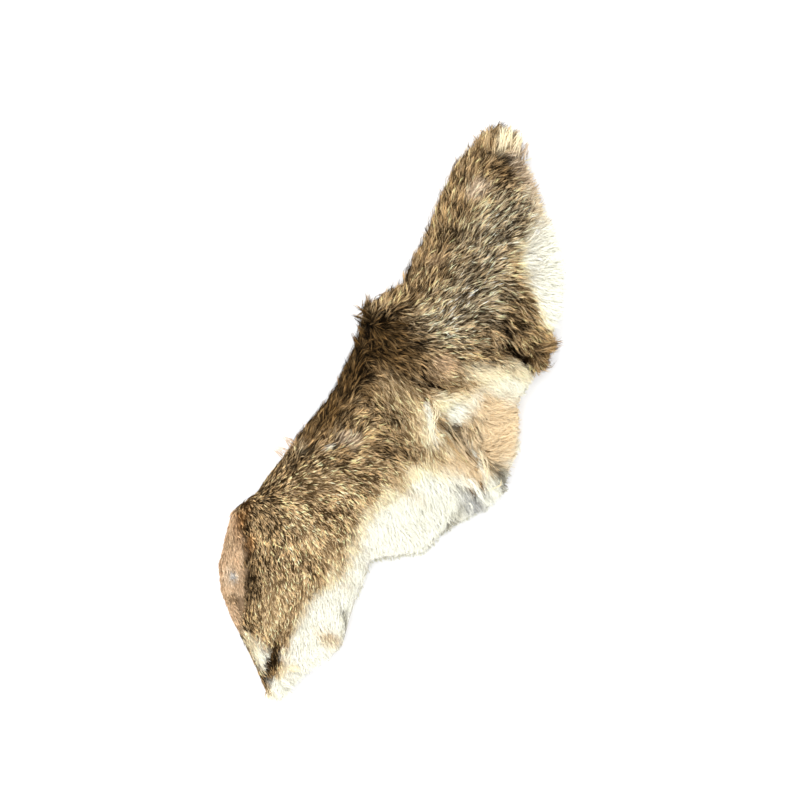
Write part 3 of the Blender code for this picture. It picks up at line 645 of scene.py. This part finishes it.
def fur_at(x, y, upper):
    """The furs' colours and ticking at each place. upper is 1 on top and 0 underneath, where the
    small patches fade out."""
    depth = white_depth(x, y) / np.interp(y, *zip(*BORDER_WIDTHS)) + waver(x, y, BORDER_NOISES)
    fur = np.repeat(fur_row("agouti")[None], len(x), 0)
    for name, start, end in BORDER_FURS:
        share = smooth(start, end, depth)[:, None]
        fur = fur * (1 - share) + fur_row(name) * share
    for px, py, turn, long, wide, edge, amount, name in PATCHES:
        angle = math.radians(turn)
        dx, dy = x - px, y - py
        along = (dx * math.cos(angle) + dy * math.sin(angle)) / long
        across = (dy * math.cos(angle) - dx * math.sin(angle)) / wide
        reach = np.hypot(along, across) + waver(x, y, PATCH_NOISES)
        share = amount * (1 - smooth(1 - edge, 1 + edge * PATCH_SPILL, reach))[:, None]
        share *= 1 if long > SMALL_PATCH else upper[:, None]
        fur = fur * (1 - share) + fur_row(name) * share
    return split_rows(fur)


def flow_at(x, y):
    """The heading in radians and the hair's length at each place."""
    away = np.hypot(x[:, None] - FLOWING["x"], y[:, None] - FLOWING["y"])
    weight = 1 / (away + FLOW_BLEND) ** FLOW_FALLOFF
    weight /= weight.sum(1, keepdims=True)
    angle = np.radians(FLOWING["heading"])
    heading = np.arctan2(weight @ np.sin(angle), weight @ np.cos(angle))
    return heading, weight @ FLOWING["length"]


def sample(grid, i, j):
    """A grid's values at fractional rows and columns."""
    row, column = np.floor(i).astype(int), np.floor(j).astype(int)
    u, v = (i - row)[:, None], (j - column)[:, None]
    near = grid[row, column] * (1 - v) + grid[row, column + 1] * v
    far = grid[row + 1, column] * (1 - v) + grid[row + 1, column + 1] * v
    return near * (1 - u) + far * u


def blades(name, lines, sides, colours, shares):
    """Joins tapered blades into a mesh. lines and colours hold each one's points at the shares."""
    count, steps = lines.shape[:2]
    last = 2 * (steps - 1)
    corners = np.empty((count, last + 1, 3))
    paint = np.empty((count, last + 1, 3))
    for step, share in enumerate(shares[:-1]):
        half = sides * (1 - THINNING * share * share)
        corners[:, 2 * step], corners[:, 2 * step + 1] = lines[:, step] - half, lines[:, step] + half
        paint[:, 2 * step] = paint[:, 2 * step + 1] = colours[:, step]
    corners[:, last], paint[:, last] = lines[:, -1], colours[:, -1]
    quads = [(2 * k, 2 * k + 1, 2 * k + 3, 2 * k + 2) for k in range(steps - 2)]
    around = np.array([corner for quad in quads for corner in quad] + [last - 2, last - 1, last])
    loops = (np.arange(count)[:, None] * (last + 1) + around).ravel()
    firsts = np.arange(0, len(around), 4)
    starts = (np.arange(count)[:, None] * len(around) + firsts).ravel()
    piece = link_mesh(name, corners.reshape(-1, 3), loops, starts)
    paint_coat(piece, paint)
    beside, below = STRIP_MARGINS
    across = np.where(around == last, 0.5, around % 2) * (1 - 2 * beside) + beside
    up = np.asarray(shares)[around // 2] * (1 - 2 * below) + below
    lay_out_blades(piece.data, count, across, up)
    return piece


def lay_out_blades(mesh, count, across, up):
    """Gives each blade its own upright strip of the map."""
    strips = math.ceil(math.sqrt(count * STRIP_SHAPE))
    floors = math.ceil(count / strips)
    number = np.arange(count)[:, None]
    places = np.stack(((number % strips + across) / strips, (number // strips + up) / floors), 2)
    layer = mesh.uv_layers.new(name="OFBake")
    layer.data.foreach_set("uv", places.astype(np.float32).ravel())


def hair_colours(chance, fur, mark, shade, shares):
    """Each hair's colours from root to tip. A low mark makes a dark hair and a high one a pale."""
    band, root, tip, ticking = fur
    count = len(mark)
    mark = mark - DARK_SHIFT * ticking
    dark = (ticking * smooth(0.0, FULLY_DARK, -mark))[:, None]
    contrast = LOCK_CONTRAST[0] + LOCK_CONTRAST[1] * ticking
    gain = np.exp(contrast * np.clip(mark, *MARK_RANGE))
    warmth = chance.normal(0, WARMTH, count) * ticking
    band = band * np.stack((gain * (1 + warmth), gain, gain * (1 - BLUE_WARMTH * warmth)), 1)
    end = np.clip(dark + ticking[:, None] * chance.uniform(0.0, TIP_SPREAD, (count, 1)), 0, 1)
    low = (root + band) / 2
    low = low + (tip - low) * dark * LOW_DARKENING
    middle = band + (tip - band) * dark * BAND_DARKENING
    known = np.stack((root, low, middle, band + (tip - band) * end), 1)
    colours = np.empty((count, len(shares), 3))
    for step, share in enumerate(shares):
        after = min(int(np.searchsorted(BAND_SHARES, share)), len(BAND_SHARES) - 1)
        before = max(after - 1, 0)
        span = max(BAND_SHARES[after] - BAND_SHARES[before], TINY)
        part = (share - BAND_SHARES[before]) / span
        colours[:, step] = known[:, before] * (1 - part) + known[:, after] * part
    # A lower layer's painted shade, weaker where the fur is unticked
    shade = 1 - (1 - shade) * (LEAST_SHADE + (1 - LEAST_SHADE) * ticking)
    return np.clip(colours * shade[:, None, None], 0, 1)


def lay_hairs(centre, offset, ahead, aside, normal, length, lift, bend, droop, gather, shares):
    """The points of hairs that leave the skin, bow over and gather towards the lock's tip."""
    lines = np.empty((len(centre), len(shares), 3))
    level = np.sqrt(1 - np.minimum(lift / length, STEEPEST) ** 2)
    for step, share in enumerate(shares):
        rise = lift * (1 - (1 - share) ** BOW) - (SAG + droop) * length * share**3
        lines[:, step] = (
            centre
            + offset * (1 - gather * share**GATHER_BOW)
            + ahead * (length * share * level)[:, None]
            + normal * rise[:, None]
            + aside * (bend * length * share * share)[:, None]
        )
    lines[:, :, 2] = np.maximum(lines[:, :, 2], CLEARANCE)
    return lines


def blade_sides(chance, aside, normal, width):
    """Half of each blade's width as a vector, a little rolled about the hair."""
    count = len(aside)
    roll = chance.normal(0, ROLL, count)[:, None]
    size = (width / 2 * chance.uniform(*WIDTHS, count))[:, None]
    return (aside * np.cos(roll) + normal * np.sin(roll)) * size


def scattered(chance, ahead, aside, spread, stretch):
    """Random places of hairs round their lock's middle, spread more along it than across."""
    angle = chance.uniform(0, 2 * math.pi, len(spread))
    out = np.sqrt(chance.random(len(spread))) * spread
    return ahead * (out * np.cos(angle) * stretch)[:, None] + aside * (out * np.sin(angle))[:, None]


def lock_places(chance, spacing):
    """Random rows and columns of the grids, one for each lock of a layer."""
    number = np.floor(AREAS / spacing**2 + chance.random(AREAS.shape)).astype(int)
    row, column = np.nonzero(number)
    repeat = number[row, column]
    row, column = np.repeat(row, repeat), np.repeat(column, repeat)
    return row + chance.random(len(row)), column + chance.random(len(row))


def grow_layer(chance, layer):
    """Grows one layer of the coat in locks of a few hairs that gather at the tip."""
    name, spacing, hairs, radius, length_share, lift_share, width = layer[:7]
    gather, shade, contrast, shares = layer[7:]
    i, j = lock_places(chance, spacing)
    centre = sample(ROOTS, i, j)
    normal = unit(sample(NORMALS, i, j))
    depth = sample(DEPTHS, i, j)[:, 0]
    x, y = centre[:, 0], centre[:, 1]

    heading, length = flow_at(x, y)
    fold_share = np.clip(1 - abs(j - FLOOR_POINTS - FOLD_POINTS / 2) / FOLD_POINTS, 0, 1)
    stray = waver(x, y, STRAY_NOISES) + chance.normal(0, STRAY, len(x))
    fan = fold_share * np.minimum(chance.exponential(1.0, len(x)), FAN_LIMIT)
    heading = heading + np.radians(stray + BACK_FAN * fan)
    upper = np.clip((j - FLOOR_POINTS) / FOLD_POINTS * 2 - 1, 0, 1)
    rim = np.clip((j - NORMALS.shape[1] + 1 + RIM_COLUMNS) / RIM_COLUMNS, 0, 1)
    crease = crease_share(x, y) * upper
    length = length * length_share * chance.uniform(*LOCK_LENGTHS, len(x))
    length *= 1 - CREASE_LENGTH * crease
    low_rim = np.clip(1 - j / LOW_RIM_COLUMNS, 0, 1)
    length *= (1 + RIM_GROWTH * rim) * (1 - LOW_RIM_CUT * low_rim)
    flat = np.stack((np.cos(heading), np.sin(heading), 0 * heading), 1)
    ahead = unit(flat - normal * (flat * normal).sum(1, keepdims=True))
    aside = np.cross(normal, ahead)
    lift = depth * lift_share * chance.uniform(*LOCK_LIFTS, len(x)) * (length / FULL_LENGTH) ** 0.5
    lift *= (1 - CREASE_LIFT * crease) * (1 + BACK_LIFT * fan)
    seen = centre + ahead * length[:, None] * SEEN_AT
    fur = fur_at(seen[:, 0], seen[:, 1], upper)
    mark = (waver(x, y, MARK_NOISES) + chance.normal(0, MARK_SPREAD, len(x))) * contrast

    def each(values):
        """The locks' values for each of their hairs."""
        return np.repeat(values, hairs, 0)

    count = len(x) * hairs
    ahead, aside, normal = each(ahead), each(aside), each(normal)
    spread = each(radius * (SPREAD_SHARES[0] + SPREAD_SHARES[1] * length / FULL_LENGTH))
    offset = scattered(chance, ahead, aside, spread, LOCK_STRETCH)
    hair_length = each(length) * chance.uniform(*HAIR_LENGTHS, count)
    hair_lift = each(lift) * chance.uniform(*HAIR_LIFTS, count)
    bend = each(chance.normal(0, LOCK_BEND, len(x))) + chance.normal(0, HAIR_BEND, count)
    sides = blade_sides(chance, aside, normal, width)
    droop = each(RIM_DROOP * rim + LOW_RIM_RISE * low_rim)
    lines = lay_hairs(
        each(centre), offset, ahead, aside, normal, hair_length, hair_lift, bend, droop, gather, shares
    )
    marks = each(mark) + chance.normal(0, HAIR_SPREAD, count)
    colours = hair_colours(chance, [each(part) for part in fur], marks, shade, shares)
    # A hair in a crease or pit is darkened as painted shade
    colours *= (1 - CREASE_PAINTED_SHADE * each(crease))[:, None, None]
    return blades(name, lines, sides, colours, shares)


def ground_at(x, y):
    """The coat's surface and root depth over a place, from the nearest point of the upper half."""
    top = FUR[:, FLOOR_POINTS + FOLD_POINTS // 2 :]
    away = np.hypot(top[None, ..., 0] - x[:, None, None], top[None, ..., 1] - y[:, None, None])
    nearest = away.reshape(len(x), -1).argmin(1)
    height = top[..., 2].ravel()[nearest]
    depth = DEPTHS[:, FLOOR_POINTS + FOLD_POINTS // 2 :, 0].ravel()[nearest]
    return height, depth


def grow_tufts(chance):
    """The pointed tufts and spikes that stand out of the coat."""
    hairs = TUFT_COLUMNS.index("hairs")
    rows = [row for row in TUFTS for _ in range(row[hairs])]
    tuft = columns(TUFT_COLUMNS, rows)
    count = len(rows)
    height, depth = ground_at(tuft["x"].astype(float), tuft["y"].astype(float))
    centre = np.stack((tuft["x"], tuft["y"], height - depth), 1)
    heading = np.radians(tuft["heading"] + chance.normal(0, TUFT_STRAY, count))
    ahead = np.stack((np.cos(heading), np.sin(heading), 0 * heading), 1)
    normal = np.repeat(((0.0, 0.0, 1.0),), count, 0)
    aside = np.cross(normal, ahead)
    offset = scattered(chance, ahead, aside, tuft["spread"], TUFT_STRETCH)
    length = tuft["length"] * chance.uniform(*TUFT_LENGTHS, count)
    lift = (depth + tuft["lift"]) * chance.uniform(*TUFT_LIFTS, count)
    bend = tuft["curl"] + chance.normal(0, HAIR_BEND, count)
    shares = np.linspace(0, 1, TUFT_POINTS)
    lines = lay_hairs(
        centre, offset, ahead, aside, normal, length, lift, bend, 0.0, TUFT_GATHER, shares
    )
    fur = split_rows(np.array([fur_row(name) for name in tuft["fur"]]))
    mark = chance.normal(0, LOOSE_SPREAD, count)
    colours = hair_colours(chance, fur, mark, 1.0, shares)
    sides = blade_sides(chance, aside, normal, TUFT_WIDTH)
    return blades("tufts", lines, sides, colours, shares)


def grow_wisps(chance):
    """Long loose locks that curl over the leg's fluff, each through four places."""
    shares = np.linspace(0, 1, WISP_POINTS)
    all_lines, all_sides, all_colours = [], [], []
    for places, half_width, hairs, fur in WISPS:
        spots = np.array(places, float)
        ways = np.polyfit(np.linspace(0, 1, len(spots)), spots, len(spots) - 1).T
        begin = chance.uniform(*WISP_BEGINS, (hairs, 1))
        end = chance.uniform(*WISP_ENDS, (hairs, 1))
        along = begin + (end - begin) * shares
        middle = np.stack([np.polyval(way, along) for way in ways], 2)
        run = unit(np.gradient(middle, axis=1))
        across = np.stack((-run[..., 1], run[..., 0]), 2)
        height = ground_at(middle[..., 0].ravel(), middle[..., 1].ravel())[0]
        arch = np.sin(math.pi * np.clip(along, 0, 1) ** WISP_TAPER)
        swell = half_width * (WISP_END_WIDTH + arch)
        aside = np.clip(chance.normal(0, WISP_SPREAD, (hairs, 1)), -1, 1)
        turn = 2 * math.pi * (along * WISP_WAVES + chance.random((hairs, 1)))
        wave = WISP_WAVE * np.sin(turn)
        up = np.sqrt(1 - aside * aside) * chance.uniform(*WISP_STACK, (hairs, 1))
        flat = middle + across * ((aside + wave) * swell)[..., None]
        level = height.reshape(along.shape) + WISP_LIFT + up * swell
        all_lines.append(np.concatenate((flat, level[..., None]), 2))
        halfway = across[:, WISP_POINTS // 2 - 1]
        turned = np.concatenate((halfway, np.full((hairs, 1), WISP_TILT)), 1)
        all_sides.append(turned * (WISP_WIDTH / 2 * chance.uniform(*WISP_WIDTHS, (hairs, 1))))
        parts = split_rows(np.repeat(fur_row(fur)[None], hairs, 0))
        mark = chance.normal(0, LOOSE_SPREAD, hairs)
        all_colours.append(hair_colours(chance, parts, mark, 1.0, shares))
    lines, sides, colours = (np.concatenate(parts) for parts in (all_lines, all_sides, all_colours))
    return blades("wisps", lines, sides, colours, shares)


def set_inputs(node, values):
    """Sets a node's inputs, given by their names."""
    for name, value in values.items():
        node.inputs[name].default_value = value


def add_node(material, kind, **values):
    """A node with its inputs and settings, given by their names."""
    node = material.node_tree.nodes.new(kind)
    for name, value in values.items():
        if name in node.inputs:
            node.inputs[name].default_value = value
        else:
            setattr(node, name, value)
    return node


def new_material(name, inputs):
    """A material with some inputs of its shader set, that shader and the call that links nodes."""
    material = bpy.data.materials.new(name)
    material.use_nodes = True
    shader = material.node_tree.nodes["Principled BSDF"]
    set_inputs(shader, inputs)
    return material, shader, material.node_tree.links.new


def fur_material():
    """Fur whose colour comes with each hair, a little uneven along it."""
    look = {"Roughness": 0.75, "Specular IOR Level": 0.03}
    material, shader, link = new_material("rabbit fur", look)
    coat = add_node(material, "ShaderNodeAttribute", attribute_name="coat")
    place = add_node(material, "ShaderNodeTexCoord")
    streak = add_node(material, "ShaderNodeTexNoise", Scale=900.0, Detail=3.0, Roughness=0.6)
    link(place.outputs["Object"], streak.inputs["Vector"])
    shade = add_node(material, "ShaderNodeMapRange")
    set_inputs(shade, {"From Min": 0.3, "From Max": 0.7, "To Min": 0.8, "To Max": 1.08})
    link(streak.outputs["Fac"], shade.inputs["Value"])
    tint = add_node(material, "ShaderNodeVectorMath", operation="SCALE")
    link(coat.outputs["Color"], tint.inputs[0])
    link(shade.outputs["Result"], tint.inputs["Scale"])
    link(tint.outputs["Vector"], shader.inputs["Base Color"])
    return material


def hide_material():
    """The tanned flesh side: napped suede with pores and pale creases."""
    material, shader, link = new_material("tanned hide", {"Roughness": 0.85})
    place = add_node(material, "ShaderNodeTexCoord")
    cloud = add_node(material, "ShaderNodeTexNoise", Scale=45.0, Detail=5.0, Roughness=0.6)
    nap = add_node(material, "ShaderNodeTexNoise", Scale=900.0, Detail=2.0)
    for texture in (cloud, nap):
        link(place.outputs["Object"], texture.inputs["Vector"])
    ramp = add_node(material, "ShaderNodeValToRGB")
    for stop, (position, colour) in zip(ramp.color_ramp.elements, FLESH_SIDE):
        stop.position, stop.color = position, (*linear(colour), 1)
    link(cloud.outputs["Fac"], ramp.inputs["Fac"])
    link(ramp.outputs["Color"], shader.inputs["Base Color"])
    bump = add_node(material, "ShaderNodeBump", Strength=0.5, Distance=0.0004)
    link(nap.outputs["Fac"], bump.inputs["Height"])
    link(bump.outputs["Normal"], shader.inputs["Normal"])
    return material


def root_depths(fur, flesh):
    """How deep the roots lie under the fur's tips at each point of the grids."""
    across = fur.shape[1]
    column = np.arange(across)
    turning = np.clip((column - FLOOR_POINTS) / FOLD_POINTS, 0, 1)
    over = np.clip((column - FLOOR_POINTS - FOLD_POINTS) / DEPTH_COLUMNS, 0, 1)
    depth = UNDER_DEPTH + (FOLD_DEPTH - UNDER_DEPTH) * turning + (COAT_DEPTH - FOLD_DEPTH) * over
    length = flow_at(fur[..., 0].ravel(), fur[..., 1].ravel())[1].reshape(fur.shape[:2])
    depth = depth[None] * np.clip(length / FULL_LENGTH, *DEPTH_SHARES)
    room = np.linalg.norm(fur - flesh, axis=2) - HIDE - ROOT_ROOM
    return np.minimum(depth, np.maximum(room, LEAST_DEPTH))[..., None]


def coat_areas(fur):
    """The area at each point of the grid, less or more where the coat is thin or dense."""
    along = np.linalg.norm(np.gradient(fur, axis=0), axis=2)
    across = np.linalg.norm(np.gradient(fur, axis=1), axis=2)
    areas = (along * across)[:-1, :-1]
    areas[:, :FLOOR_POINTS] *= UNDER_SHARE
    areas[:, 0] *= LOW_RIM_DENSITY
    areas[:, FLOOR_POINTS : FLOOR_POINTS + FOLD_POINTS] *= BACK_SHARE
    return areas


def make_hide(flesh, grain_side):
    """The hide between its flesh side and the side with the hair."""
    outer = drawn_in(coarser(flesh + grain_side * HIDE))
    return closed_shell("hide", outer, drawn_in(coarser(flesh)))


def make_undercoat(skin_side):
    """The wool between the hide and the roots of the locks, in the roots' colour darkened as painted
    shade.
    """
    shell = closed_shell("undercoat", coarser(ROOTS), coarser(skin_side))
    places = coarser(FUR).reshape(-1, 3)
    on_top = (places[:, 2] > UNDER_FUR).astype(float)
    root = fur_at(places[:, 0], places[:, 1], on_top)[1]
    paint_coat(shell, np.vstack((root, root)) * WOOL_SHADE)
    return shell


def lay_floor():
    """A plain white floor."""
    mesh = bpy.data.meshes.new("floor")
    across = (-FLOOR_REACH, FLOOR_REACH)
    mesh.from_pydata([(x, y, 0) for y in across for x in across], [], [(0, 1, 3, 2)])
    look = {"Roughness": 0.9, "Specular IOR Level": 0.0, "Base Color": FLOOR_COLOUR}
    mesh.materials.append(new_material("white floor", look)[0])
    return add_object("floor", mesh)


def light_up():
    """Even studio light from all round and the lamp."""
    world = bpy.data.worlds.new("studio")
    world.use_nodes = True
    background = world.node_tree.nodes["Background"]
    set_inputs(background, {"Color": (1.0, 1.0, 1.0, 1), "Strength": WORLD_STRENGTH})
    bpy.context.scene.world = world
    lamp_data = bpy.data.lights.new("studio lamp", "AREA")
    lamp_data.shape = "DISK"
    lamp_data.size, lamp_data.energy = LAMP_SIZE, LAMP_POWER
    lamp = add_object("studio lamp", lamp_data)
    lamp.location = LAMP_PLACE
    lamp.rotation_euler = (-LAMP_PLACE).to_track_quat("-Z", "Y").to_euler()


def place_camera():
    """A camera that looks straight down, with the colours as they come."""
    camera_data = bpy.data.cameras.new("camera")
    camera_data.sensor_width = SENSOR_WIDTH
    camera_data.lens = SENSOR_WIDTH * (CAMERA_HEIGHT - VIEW_HEIGHT) / VIEW_WIDTH
    camera = add_object("camera", camera_data)
    camera.location = (*VIEW_CENTRE, CAMERA_HEIGHT)
    camera.rotation_euler = (0, 0, math.radians(VIEW_TURN))
    bpy.context.scene.camera = camera
    bpy.context.scene.view_settings.view_transform = "Standard"


FUR, FLESH = coat_surfaces()
NORMALS = grid_normals(FUR)
DEPTHS = root_depths(FUR, FLESH)
ROOTS = FUR - NORMALS * DEPTHS
AREAS = coat_areas(FUR)

grain_side = grid_normals(FLESH)
skin = make_hide(FLESH, grain_side)
undercoat = make_undercoat(FLESH + grain_side * (HIDE + UNDERCOAT_ROOM))
chance = np.random.default_rng(SEED)
coat = [grow_layer(chance, layer) for layer in LAYERS]
coat += [grow_tufts(chance), grow_wisps(chance)]

fur_look, hide_look = fur_material(), hide_material()
skin.data.materials.append(hide_look)
for piece in (undercoat, *coat):
    piece.data.materials.append(fur_look)

for piece in (skin, undercoat, *coat):
    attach(piece, "root")
    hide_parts("pelt")

floor = lay_floor()
light_up()
place_camera()
